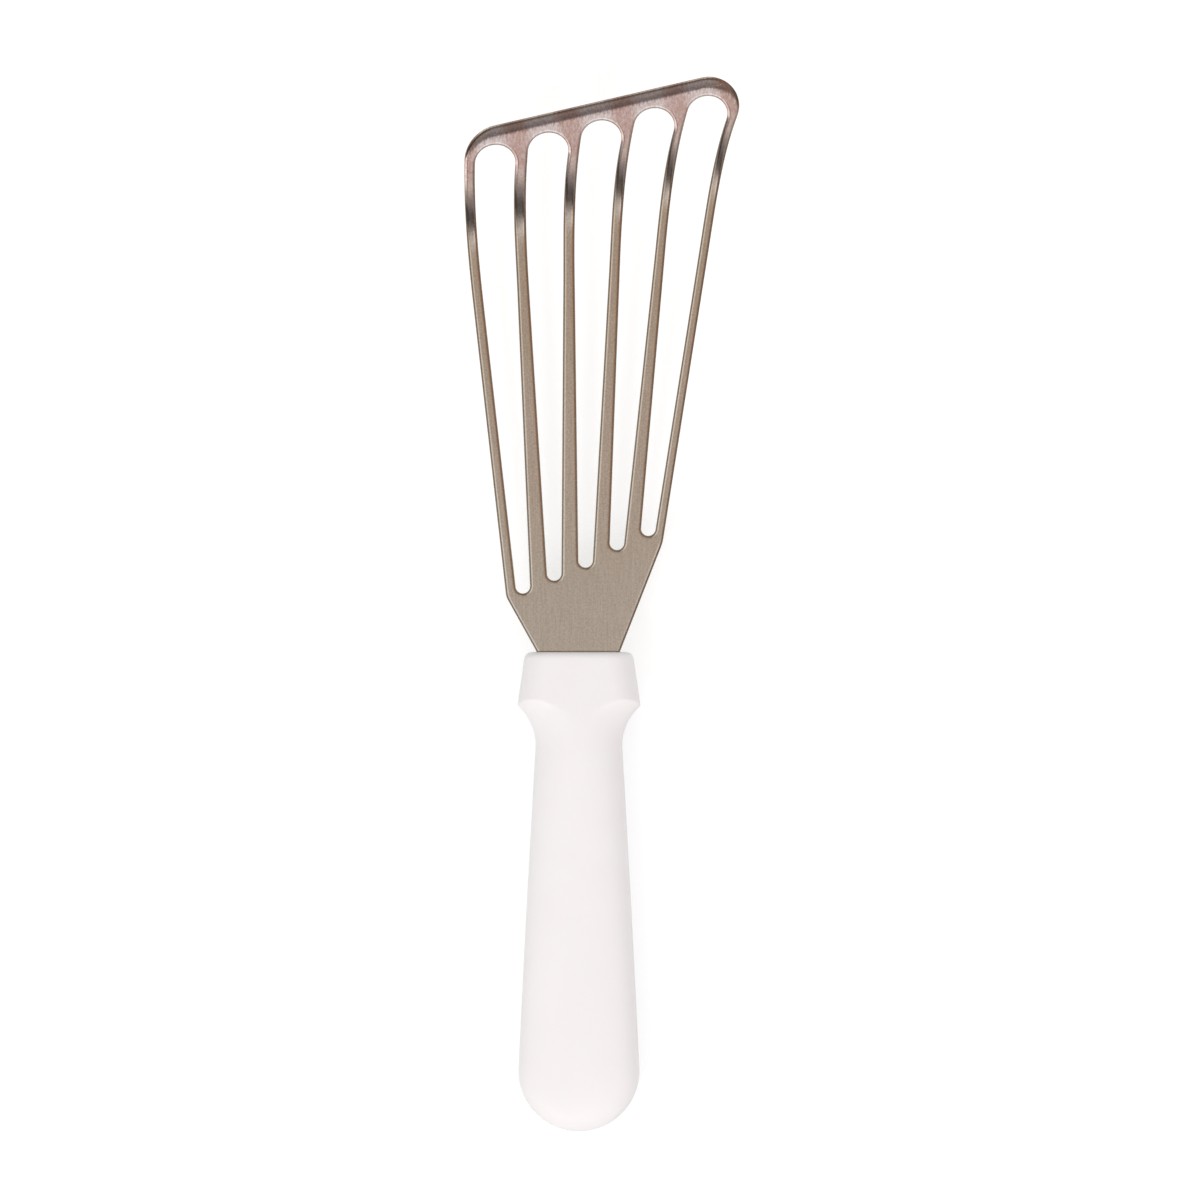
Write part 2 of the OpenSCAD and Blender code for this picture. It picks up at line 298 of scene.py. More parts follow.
@dataclass(frozen=True)
class BrushedSteel:
    """Stainless steel with a fine brushed grain along the blade, and painted shade on its steep
    stamped edges.

    Distances are in millimetres from the collar's front unless they say otherwise.
    """

    # The sheet darkens and browns from the root past the ribs to far along the blade: a painted
    # change of reflection along the blade.
    root_colour: Triple = (0.66, 0.62, 0.55)
    rib_colour: Triple = (0.65, 0.585, 0.51)
    far_blade_colour: Triple = (0.62, 0.54, 0.455)
    tip_colour: Triple = (0.72, 0.66, 0.64)
    streak_tint: Triple = (0.73, 0.57, 0.51)
    ground_dark: Triple = (0.74, 0.73, 0.68)
    ground_pale: Triple = (1.18, 1.13, 0.98)
    # Dark brown for painted shade: laid on the steep edge faces and on the line just in front of
    # the collar.
    painted_shade_colour: Triple = (0.16, 0.11, 0.075)
    root_to_rib: Pair = (8.0, 55.0)
    rib_to_far_blade: Pair = (60.0, 105.0)
    tip_from_bend_end: Pair = (-8.0, 1.0)
    cut_facing: Pair = (0.42, 0.84)
    mottle: Pair = (0.87, 1.1)
    mottle_noise: Pair = (0.32, 0.68)
    speckle_share: float = 0.6
    rough_noise: Pair = (0.25, 0.75)
    rib_phase: Pair = (-1.0, 0.5)
    rib_streaks: Pair = (0.92, 0.14)
    hairs: float = 0.28
    hair_noise: Pair = (0.36, 0.64)
    bevel_hairs: float = 0.8
    bevel_hair_noise: Pair = (0.3, 0.7)
    bevel_blotches: float = 0.4
    blotch_noise: Pair = (0.35, 0.65)
    bevel_edge: float = 0.7
    bevel_pale: Pair = (0.6, 2.2)
    roughness: Pair = (0.1, 0.16)
    cut_roughness: float = 0.25
    grain_strength: float = 0.1
    grain_depth: float = 0.00001
    # A painted shadow line on the steel just in front of the collar, where the blade enters the
    # handle: where it fades, and how dark it is.
    mouth_shadow_fades: Pair = (0.15, 0.45)
    mouth_shadow: float = 0.8
    fine: Grain = Grain(5200, 2, 0.5, 0.05)
    coarse: Grain = Grain(1500, 3, 0.6, 0.08)
    streaky: Grain = Grain(1600, 3, 0.65, 0.045)
    speckle: Grain = Grain(1500, 3, 0.6)
    blotch: Grain = Grain(1900, 4, 0.7)

    def make(self, seat: Seat, blade: Blade) -> bpy.types.Material:
        """Builds the material.

        Args:
            seat: Where the collar's front lies.
            blade: The blade, whose sizes say where its rows lie.

        Returns:
            The steel's material.
        """
        material = bpy.data.materials.new("brushed_steel")
        material.use_nodes = True
        g = Graph(material.node_tree)
        origin = g.add("TexCoord").outputs["Object"]
        front = {0: origin, 1: (seat.x, seat.y, 0)}
        place = g.add("VectorMath", front, operation="SUBTRACT").outputs[0]
        along = g.dot(place, (0, 1, 0))
        normal = g.add("NewGeometry").outputs["Normal"]
        facing = g.math("ABSOLUTE", g.dot(normal, (0, 0, 1)))
        grain, streak = self.grain(g, place)
        # Steep faces of the edges: they get a rougher cut finish, and below they are painted dark
        # as shade.
        cut = g.span(facing, *self.cut_facing, 1, 0)

        base = self.sheet_colour(g, blade, place, along, streak)
        speckle = g.noise(place, self.speckle)
        speckles = g.math("MULTIPLY", speckle, self.speckle_share)
        lines = g.math("MULTIPLY", grain, 1 - self.speckle_share)
        mottle = g.math("ADD", lines, speckles)
        shade = g.grey(g.span(mottle, *self.mottle_noise, *self.mottle))
        base = g.mix(1.0, base, shade, "MULTIPLY")
        base = g.mix(1.0, base, self.ground_tint(g, place, streak), "MULTIPLY")
        # Painted shade: the steep edge faces are darkened to dark brown.
        base = g.mix(cut, base, (*self.painted_shade_colour, 1))
        # Painted shadow where the blade enters the collar.
        mouth_shadow_mask = g.span(along, *metres(*self.mouth_shadow_fades), self.mouth_shadow, 0)
        base = g.mix(mouth_shadow_mask, base, (*self.painted_shade_colour, 1))

        rough = g.span(grain, *self.rough_noise, *self.roughness)
        rough = g.math("ADD", rough, g.math("MULTIPLY", cut, self.cut_roughness))
        relief = {"Strength": self.grain_strength, "Distance": self.grain_depth, "Height": grain}
        bump = g.add("Bump", relief).outputs[0]
        inputs = {"Base Color": base, "Metallic": 1.0, "Roughness": rough, "Normal": bump}
        shader = g.add("BsdfPrincipled", inputs)
        g.add("OutputMaterial", {0: shader.outputs[0]})
        return material

    def grain(self, g: Graph, place: Socket) -> tuple[Socket, Socket]:
        """Makes the brushed grain along the blade.

        Args:
            g: The material's nodes.
            place: Place from the collar's front.

        Returns:
            The grain, and its longer streaks.
        """
        fine, coarse = g.noise(place, self.fine), g.noise(place, self.coarse)
        streak = g.noise(place, self.streaky)
        half_fine, half_coarse = (g.math("MULTIPLY", part, 0.5) for part in (fine, coarse))
        return g.math("ADD", half_fine, half_coarse), streak

    def sheet_colour(
        self, g: Graph, blade: Blade, place: Socket, along: Socket, streak: Socket
    ) -> Socket:
        """Colour of the sheet from its root to its streaked tip.

        Args:
            g: The material's nodes.
            blade: The blade, whose sizes say where its rows lie.
            place: Place from the collar's front.
            along: Distance along the tool from the collar's front.
            streak: Noise of the streaks.

        Returns:
            The colour.
        """
        row = g.dot(place, (*blade.tip_v, 0))
        # Painted reflection: the sheet browns from the root towards the bend, as the mirrored
        # surroundings would change along the blade.
        to_rib = g.span(along, *metres(*self.root_to_rib))
        base = g.mix(to_rib, (*self.root_colour, 1), (*self.rib_colour, 1))
        to_far_blade = g.span(along, *metres(*self.rib_to_far_blade))
        base = g.mix(to_far_blade, base, (*self.far_blade_colour, 1))
        ends = (blade.bend_end + mark for mark in self.tip_from_bend_end)
        at_tip = g.span(row, *metres(*ends))
        base = g.mix(at_tip, base, (*self.tip_colour, 1))
        streaks = self.streaks(g, blade, g.dot(place, (*blade.tip_u, 0)), at_tip, streak)
        return g.mix(streaks, base, (*self.streak_tint, 1), "MULTIPLY")

    def streaks(
        self, g: Graph, blade: Blade, across_tip: Socket, at_tip: Socket, streak: Socket
    ) -> Socket:
        """Lays brown streaks on the flat tip, most where the ribs run into it.

        Args:
            g: The material's nodes.
            blade: The blade, whose sizes say where its arches lie.
            across_tip: Distance across the tip.
            at_tip: How much a place belongs to the flat tip.
            streak: Noise of the streaks.

        Returns:
            Amount of the streaks.
        """
        turns = 2 * math.pi / (blade.arch_pitch * MM)
        phase = g.math("MULTIPLY", g.math("SUBTRACT", across_tip, blade.arch_1 * MM), turns)
        at_ribs = g.span(g.math("COSINE", phase), *self.rib_phase, *self.rib_streaks)
        hairs = g.span(streak, *self.hair_noise, -self.hairs, self.hairs)
        amount = g.math("ADD", at_ribs, hairs)
        return g.math("MULTIPLY", amount, at_tip, clamp=True)

    def ground_tint(self, g: Graph, place: Socket, streak: Socket) -> Socket:
        """Tints the ground bevel, most along its hairy inner boundary.

        Args:
            g: The material's nodes.
            place: Place from the collar's front.
            streak: Noise of the streaks.

        Returns:
            The tint, white where the sheet isn't ground.
        """
        depth = g.add("Attribute", attribute_name="ground_depth").outputs["Fac"]
        hairs = g.span(streak, *self.bevel_hair_noise, -self.bevel_hairs, self.bevel_hairs)
        hairy = g.math("ADD", depth, hairs)
        blotch = g.noise(place, self.blotch)
        blotches = g.span(blotch, *self.blotch_noise, -self.bevel_blotches, self.bevel_blotches)
        pale = g.math("ADD", g.span(hairy, *self.bevel_pale), blotches, clamp=True)
        tint = g.mix(pale, (*self.ground_dark, 1), (*self.ground_pale, 1))
        return g.mix(g.span(hairy, -self.bevel_edge, self.bevel_edge), WHITE, tint)


@dataclass(frozen=True)
class MouldedPlastic:
    """White polypropylene with a soft sheen and a faint moulded grain."""

    colour: Triple = (0.935, 0.9, 0.897)
    shade: float = 0.985
    cloud_noise: Pair = (0.35, 0.65)
    roughness: Pair = (0.38, 0.47)
    flow_noise: Pair = (0.3, 0.7)
    grain_strength: float = 0.12
    grain_depth: float = 0.00003
    flow_share: float = 0.6
    refraction: float = 1.49
    translucence: float = 0.15
    light_reach: float = 0.004
    light_spread: Triple = (1.0, 0.8, 0.7)
    cloud: Grain = Grain(30, 3, 0.5)
    moulded: Grain = Grain(2600, 2, 0.5)
    flow: Grain = Grain(160, 3, 0.5, 0.3)

    def make(self) -> bpy.types.Material:
        """Builds the material.

        Returns:
            The plastic's material.
        """
        material = bpy.data.materials.new("white_plastic")
        material.use_nodes = True
        g = Graph(material.node_tree)
        place = g.add("TexCoord").outputs["Object"]
        noises = (self.cloud, self.moulded, self.flow)
        cloud, grain, flow = (g.noise(place, noise) for noise in noises)
        dark = tuple(c * self.shade for c in self.colour)
        base = g.mix(g.span(cloud, *self.cloud_noise), (*self.colour, 1), (*dark, 1))
        rough = g.span(flow, *self.flow_noise, *self.roughness)
        height = g.math("ADD", grain, g.math("MULTIPLY", flow, self.flow_share))
        relief = {"Strength": self.grain_strength, "Distance": self.grain_depth, "Height": height}
        inputs = {
            "Base Color": base,
            "Roughness": rough,
            "Normal": g.add("Bump", relief).outputs[0],
            "IOR": self.refraction,
            "Subsurface Weight": self.translucence,
            "Subsurface Scale": self.light_reach,
            "Subsurface Radius": self.light_spread,
        }
        shader = g.add("BsdfPrincipled", inputs)
        g.add("OutputMaterial", {0: shader.outputs[0]})
        return material


@dataclass
class Seat:
    """Where the middle of the collar's front and of the sheet lies in the frame, in metres."""

    x: float
    y: float
    z: float

    @classmethod
    def of_handle(cls) -> Seat:
        """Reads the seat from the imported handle's box."""
        low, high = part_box("handle")
        return cls((low.x + high.x) / 2, high.y, (low.z + high.z) / 2)

    def place(self, points: Points) -> Points:
        """Moves points in millimetres round the collar's front to the frame, in metres."""
        return points * MM + np.array([self.x, self.y, self.z])


@dataclass
class Blade:
    """The stamped blade with its tang. Sizes in millimetres and degrees."""

    thick: float = 1.0
    length: float = 158.4
    tip_skew: float = 13.0
    tip_rise: float = 25.0
    bend_len: float = 24.0
    tip_bar: float = 6.2
    bevel_w: float = 3.3
    edge_t: float = 0.4
    left_rib: float = 3.1
    right_rib: float = 2.7
    left_corner: float = 11.3
    right_corner: float = 9.2
    root_w: float = 24.2
    root_x: float = -0.2
    left_shoulder: float = 15.9
    right_shoulder: float = 31.6
    left_shoulder_r: float = 5.5
    right_shoulder_r: float = 14.0
    slot_end_r: float = 2.1
    slot_taper: float = 3.95
    foot_x: float = -16.3
    foot_pitch: float = 9.1
    feet: tuple[float, ...] = (19.1, 22.8, 26.6, 31.7, 35.8)
    fan_start: float = -4.45
    fan_step: float = 2.85
    ease_len: float = 14.5
    arch_r: float = 5.9
    arch_pitch: float = 15.75
    arch_1: float = 8.2
    arch_lean: float = 2.0
    arch_turn: float = 3.35
    seat_len: float = 4.0
    tang_w: float = 18.0
    tang_len: float = 96.0
    hole_d: float = 7.0
    hole_backs: tuple[float, ...] = (34.0, 57.0, 80.0)
    roll_w: float = 0.9
    roll_h: float = 0.3
    crown_w: float = 1.2
    crown_h: float = 0.04
    under_r: float = 0.1
    edge_inset: float = 0.05
    tip_trim: float = 0.5
    bevel_ease: float = 0.4
    hollow: float = 0.1
    bend_ease: float = 5.0
    under_land: float = 0.08
    under_turns: tuple[float, ...] = (0, 30, 60, 90)
    roll_places: tuple[float, ...] = (0, 0.02, 0.06, 0.13, 0.24, 0.38, 0.55, 0.75, 1.0)
    crown_steps: int = 3
    bevel_margin: float = 0.6
    side_steps: int = 40
    end_steps: int = 40
    corner_steps: int = 24
    shoulder_steps: tuple[int, int] = (10, 12)
    hole_steps: int = 32
    bend_steps: int = 400
    bend_rows: int = 56
    bevel_rows: int = 13
    corner_step: float = 0.7
    finish: BrushedSteel = field(default_factory=BrushedSteel)

    def __post_init__(self) -> None:
        """Works out the rows of the blank from the sizes."""
        self.tip_u = right(-self.tip_skew)
        self.tip_v = ahead(-self.tip_skew)
        rise = math.radians(self.tip_rise)
        self.bend_r = self.bend_len / rise
        tip_row = self.length * math.cos(math.radians(self.tip_skew))
        self.bend_end = tip_row - (self.tip_bar + self.arch_r) * math.cos(rise)
        self.bend_start = self.bend_end - self.bend_r * math.sin(rise)
        self.bend_height = self.bend_r * (1 - math.cos(rise))
        self.arch_row = self.bend_start + self.bend_len
        self.tip_row = self.arch_row + self.arch_r + self.tip_bar
        self.edge_row = self.tip_row - self.tip_trim
        self.ease_row = self.bend_start - self.ease_len
        self.bend_span = (self.bend_start - self.bend_ease, self.arch_row + self.bend_ease)
        self.half_taper = self.slot_taper / 2

    def foot_at(self, i: int) -> Points:
        """Middle of a slot's round lower end."""
        return np.array([self.foot_x + i * self.foot_pitch, self.feet[i]])

    def heading(self, i: int) -> float:
        """Heading of a slot's straight part."""
        return self.fan_start + i * self.fan_step

    def arch_at(self, i: int) -> Points:
        """Middle of the arch at a slot's wide end."""
        return (self.arch_1 + i * self.arch_pitch) * self.tip_u + self.arch_row * self.tip_v

    def arch_heading(self, i: int) -> float:
        """Heading of a slot's arch."""
        return self.arch_lean + i * self.arch_turn

    def side_line(self, i: int, side: int, out: float) -> Points:
        """Points up the turning part of a slot's side.

        Args:
            i: Number of the slot, from 0 on the left.
            side: -1 for the left side, 1 for the right.
            out: Distance outside the slot.

        Returns:
            The points, from the straight part to the arch.
        """
        taper = math.radians(self.half_taper)
        foot, along = self.foot_at(i), ahead(self.heading(i))
        straight = (self.ease_row - foot @ self.tip_v) / (along @ self.tip_v)
        a = foot + straight * along
        d = self.arch_at(i) - self.arch_r * math.sin(taper) * ahead(self.arch_heading(i))
        reach = np.linalg.norm(d - a)
        b = a + reach / 3 * along
        c = d - reach / 3 * ahead(self.arch_heading(i))
        t = np.linspace(0, 1, self.side_steps + 1)[:, None]
        middle = (1 - t) ** 3 * a + 3 * t * (1 - t) ** 2 * b + 3 * t * t * (1 - t) * c + t**3 * d
        run = (1 - t) ** 2 * (b - a) + 2 * t * (1 - t) * (c - b) + t * t * (d - c)
        run /= np.linalg.norm(run, axis=1)[:, None]
        across = np.c_[run[:, 1], -run[:, 0]]
        low = self.slot_end_r / math.cos(taper) + straight * math.tan(taper)
        high = self.arch_r * math.cos(taper)
        rise = reach * math.tan(taper)
        half = low + (high - low) * t * t * (3 - 2 * t) + rise * t * (1 - t) * (1 - 2 * t)
        return middle + side * (half + out) * across

    def round_end(self, middle: Points, radius: float, heading: float, reach: float) -> Points:
        """Points round the end of a slot, as far as reach to either side of a heading."""
        turns = heading + reach * np.linspace(-1, 1, self.end_steps + 1)[1:-1]
        return np.array([middle + radius * ahead(turn) for turn in turns])

    def slot(self, i: int) -> Points:
        """Draws a slot in the flat blank.

        Args:
            i: Number of the slot, from 0 on the left.

        Returns:
            Its closed loop.
        """
        foot, heading, half = self.foot_at(i), self.heading(i), self.half_taper
        corners = [foot + side * self.slot_end_r * right(heading + side * half) for side in (-1, 1)]
        return np.vstack([
            corners[0],
            self.side_line(i, -1, 0),
            self.round_end(self.arch_at(i), self.arch_r, self.arch_heading(i), 90 + half),
            self.side_line(i, 1, 0)[::-1],
            corners[1],
            self.round_end(foot, self.slot_end_r, heading + 180, 90 - half),
        ])

    def outline(self) -> Points:
        """Draws the edge of the blank and its tang, and keeps the middles of its tip corners.

        Returns:
            Its closed loop.
        """
        last, half, steps = len(self.feet) - 1, self.half_taper, self.corner_steps
        left_edge = self.side_line(0, -1, self.left_rib)
        right_edge = self.side_line(last, 1, self.right_rib)
        left_start, right_start = left_edge[0], right_edge[0]
        left_down, right_down = ahead(self.heading(0) - half), ahead(self.heading(last) + half)
        left_hip = left_start - left_down * (left_start[1] - self.left_shoulder) / left_down[1]
        right_drop = right_start[1] - self.right_shoulder
        right_hip = right_start - right_down * right_drop / right_down[1]
        ends = (
            (left_edge[-1], ahead(self.arch_heading(0) - half)),
            (right_edge[-1], ahead(self.arch_heading(last) + half)),
        )
        tip, row = self.edge_row, self.tip_v
        tips = [end + along * (tip - end @ row) / (along @ row) for end, along in ends]
        root_xs = [self.root_x + side * self.root_w / 2 for side in (-1, 1)]
        root = [np.array([x, 0.0]) for x in root_xs]
        seat = [np.array([x, -self.seat_len]) for x in root_xs]
        neck = [np.array([side * self.tang_w / 2, -self.seat_len]) for side in (-1, 1)]
        end = np.array([0.0, self.tang_w / 2 - self.tang_len])
        left_round, self.left_middle = rounded_corner(
            left_edge[-1], tips[0], tips[1], self.left_corner, steps
        )
        right_round, self.right_middle = rounded_corner(
            tips[0], tips[1], right_edge[-1], self.right_corner, steps
        )
        few, more = self.shoulder_steps
        return np.vstack([
            root[0],
            rounded_corner(root[0], left_hip, left_start, self.left_shoulder_r, few)[0],
            left_edge,
            left_round,
            right_round,
            right_edge[::-1],
            rounded_corner(right_start, right_hip, root[1], self.right_shoulder_r, more)[0],
            root[1],
            seat[1],
            neck[1],
            self.round_end(end, self.tang_w / 2, 180, 90 + SNAP),
            neck[0],
            seat[0],
        ])

    def tang_holes(self) -> list[Points]:
        """Draws the tang's round holes.

        Returns:
            Their closed loops.
        """
        turns = np.linspace(0, 2 * math.pi, self.hole_steps + 1)[:-1]
        circle = np.c_[np.cos(turns), np.sin(turns)] * self.hole_d / 2
        return [circle + [0, -back] for back in self.hole_backs]

    def edge_profile(self) -> list[tuple[float, float]]:
        """Draws the section of a stamped edge, from the underside to the rolled top.

        Returns:
            Inset and height of each ring of points round the edge.
        """
        r, half = self.under_r, self.thick / 2
        below = [(r + self.under_land, -half)]
        for q in np.radians(self.under_turns):
            below.append((r * (1 - math.sin(q)), r * (1 - math.cos(q)) - half))
        above = []
        for inset in self.roll_w * np.array(self.roll_places):
            arc = 1 - math.sqrt(max(0.0, 1 - (1 - inset / self.roll_w) ** 2))
            above.append((inset, half - self.roll_h * arc - self.crown_drop(inset)))
        for inset in np.linspace(self.roll_w, self.crown_w, self.crown_steps + 1)[1:]:
            above.append((inset, half - self.crown_drop(inset)))
        return below + above

    def crown_drop(self, inset: float) -> float:
        """How far the sheet's top has sunk at a distance inside a stamped edge."""
        return self.crown_h * (1 - inset / self.crown_w) ** 2

    def ground_depth(self, u: Points, w: Points) -> Points:
        """How far a place of the flat blank lies inside the ground bevel.

        The bevel runs round both corners, and narrows as its edge turns away from the tip.

        Args:
            u: Places across the tip.
            w: Places towards the tip.

        Returns:
            The distances from the bevel's inner boundary, below zero where the sheet isn't ground.
        """
        depth = self.bevel_w + w - self.edge_row
        last, skew = len(self.feet) - 1, math.cos(math.radians(self.tip_skew))
        left_end = 90 + self.arch_heading(0) - self.half_taper - self.tip_skew
        right_end = 90 + self.arch_heading(last) + self.half_taper + self.tip_skew
        corners = (
            (self.left_middle, self.left_corner, -1, left_end),
            (self.right_middle, self.right_corner, 1, right_end),
        )
        for middle, radius, side, end in corners:
            across, along = side * (u - middle @ self.tip_u), w - middle @ self.tip_v
            turn = np.degrees(np.arctan2(across, along))
            narrow = np.cos(np.radians(side * turn - self.tip_skew)) / skew
            rounded = self.bevel_w * np.clip(narrow, 0, 1) + np.hypot(across, along) - radius
            rounded = np.where(turn > end, -1.0, rounded)
            depth = np.where(across > 0, rounded, depth)
        return np.maximum(depth, -self.bevel_w)

    def bevelled(self, u: Points, w: Points, h: Points) -> Points:
        """Grinds the tip's bevel.

        Args:
            u: Places across the tip.
            w: Places towards the tip.
            h: Heights in the sheet.

        Returns:
            The heights after grinding.
        """
        ground = np.clip(soft_ramp(self.ground_depth(u, w), self.bevel_ease) / self.bevel_w, 0, 1)
        ground *= 1 + self.hollow * (1 - ground)
        drop = (self.thick - self.edge_t) * ground / self.thick
        half = self.thick / 2
        return (h + half) * (1 - drop) - half

    def turned_up(self, w: Points) -> Points:
        """Angle of the sheet: the bend eases in and out.

        Args:
            w: Rows of the blank.

        Returns:
            The angles there, in radians.
        """
        start, end = self.bend_start, self.arch_row
        turns = soft_ramp(w - start, self.bend_ease) - soft_ramp(w - end, self.bend_ease)
        return turns / self.bend_r

    def bent(self, points: Points) -> Points:
        """Bends the flat blank.

        Args:
            points: X, Y and the height in the sheet of each point.

        Returns:
            The points in the bent sheet.
        """
        u, w = points[:, :2] @ self.tip_u, points[:, :2] @ self.tip_v
        h = self.bevelled(u, w, points[:, 2])
        rows = np.linspace(*self.bend_span, self.bend_steps)
        step = rows[1] - rows[0]
        turns = self.turned_up((rows[1:] + rows[:-1]) / 2)
        seen_rows = rows[0] + np.r_[0, np.cumsum(np.cos(turns)) * step]
        high_rows = np.r_[0, np.cumsum(np.sin(turns)) * step]
        turn = self.turned_up(w)
        before, past = np.minimum(0, w - rows[0]), np.maximum(0, w - rows[-1])
        seen = np.interp(w, rows, seen_rows) + before + past * np.cos(turn) - h * np.sin(turn)
        height = np.interp(w, rows, high_rows) + past * np.sin(turn) + h * np.cos(turn)
        plan = u[:, None] * self.tip_u + seen[:, None] * self.tip_v
        return np.c_[plan, height]

    def cut(
        self, bm: bmesh.types.BMesh, along: Points, distance: float, box: Triple | None = None
    ) -> None:
        """Cuts the blank's faces along a line.

        Args:
            bm: The flat blank.
            along: Unit vector square to the line.
            distance: Distance of the line from the origin along it.
            box: Lowest and highest place across the tip and lowest row of the faces that are cut,
                or None for all.
        """
        if box is None:
            geometry = bm.verts[:] + bm.edges[:] + bm.faces[:]
        else:
            bm.verts.index_update()
            spots = np.array([v.co[:2] for v in bm.verts])
            us, ws = spots @ self.tip_u, spots @ self.tip_v
            faces = []
            for face in bm.faces:
                ids = [v.index for v in face.verts]
                if max(us[ids]) > box[0] and min(us[ids]) < box[1] and max(ws[ids]) > box[2]:
                    faces.append(face)
            verts = {v for f in faces for v in f.verts}
            geometry = [*verts, *{e for f in faces for e in f.edges}, *faces]
        point, square = (*(along * distance), 0), (*along, 0)
        bmesh.ops.bisect_plane(bm, geom=geometry, dist=SNAP, plane_co=point, plane_no=square)

    def flat_blank(self) -> bmesh.types.BMesh:
        """Builds the flat blank with its rounded edges, cut into rows over the bend.

        Returns:
            The blank's mesh.
        """
        loops = [offset_loop(turned(self.outline(), True), self.edge_inset)]
        loops += [turned(self.slot(i), False) for i in range(len(self.feet))]
        loops += [turned(hole, False) for hole in self.tang_holes()]
        bm = bmesh.new()
        first, last = [], []
        for loop in loops:
            rings = []
            for inset, height in self.edge_profile():
                rings.append([bm.verts.new((x, y, height)) for x, y in offset_loop(loop, inset)])
            for low, high in zip(rings, rings[1:]):
                count = len(low)
                for k in range(count):
                    n = (k + 1) % count
                    bm.faces.new((low[k], low[n], high[n], high[k]))
            first.append(rings[0])
            last.append(rings[-1])
        for rings, flip in ((last, False), (first, True)):
            corners = [v for ring in rings for v in ring]
            for face in tessellate_polygon([[v.co.copy() for v in ring] for ring in rings]):
                picked = [corners[k] for k in face]
                if len(set(picked)) == 3:
                    bm.faces.new(picked[::-1] if flip else picked)
        self.cut_rows(bm)
        return bm

    def cut_rows(self, bm: bmesh.types.BMesh) -> None:
        """Cuts the blank where it will be bent and ground, so that its faces follow the curves.

        Args:
            bm: The flat blank.
        """
        left = (self.left_middle, self.left_corner, -1)
        for middle, radius, side in (left, (self.right_middle, self.right_corner, 1)):
            u, w = middle @ self.tip_u, middle @ self.tip_v
            ends = sorted((u, u + side * (radius + 1)))
            low = w - radius / 2
            for column in np.arange(ends[0], ends[1], self.corner_step):
                self.cut(bm, self.tip_u, column, (ends[0], ends[1], low))
            for row in np.arange(low, self.tip_row - self.bevel_w, self.corner_step):
                self.cut(bm, self.tip_v, row, (ends[0], ends[1], low))
        bevel_start = self.edge_row - self.bevel_w - self.bevel_margin
        bend_rows = np.linspace(*self.bend_span, self.bend_rows + 1)
        bevel_rows = np.linspace(bevel_start, self.edge_row, self.bevel_rows + 1)[:-1]
        for row in (*bend_rows, *bevel_rows):
            self.cut(bm, self.tip_v, row)

    def build(self, seat: Seat) -> bpy.types.Object:
        """Builds the blade's mesh in its place.

        Args:
            seat: Where the collar's front lies.

        Returns:
            The blade's object.
        """
        bm = self.flat_blank()
        bm.verts.ensure_lookup_table()
        points = np.array([v.co[:] for v in bm.verts])
        depths = self.ground_depth(points[:, :2] @ self.tip_u, points[:, :2] @ self.tip_v)
        layer = bm.verts.layers.float.new("ground_depth")
        for vert, place, depth in zip(bm.verts, seat.place(self.bent(points)), depths):
            vert.co = place
            vert[layer] = depth
        bmesh.ops.triangulate(bm, faces=[f for f in bm.faces if len(f.verts) > 4])
        piece = mesh_object("blade_sheet", bm)
        log.info("blade: %d faces", len(piece.data.polygons))
        return piece

    def dress(self, piece: bpy.types.Object, seat: Seat) -> None:
        """Gives the blade its steel and ties it to the frame.

        Args:
            piece: The blade's object.
            seat: Where the collar's front lies.
        """
        piece.data.materials.append(self.finish.make(seat, self))
        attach(piece, "root")
        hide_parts("blade")


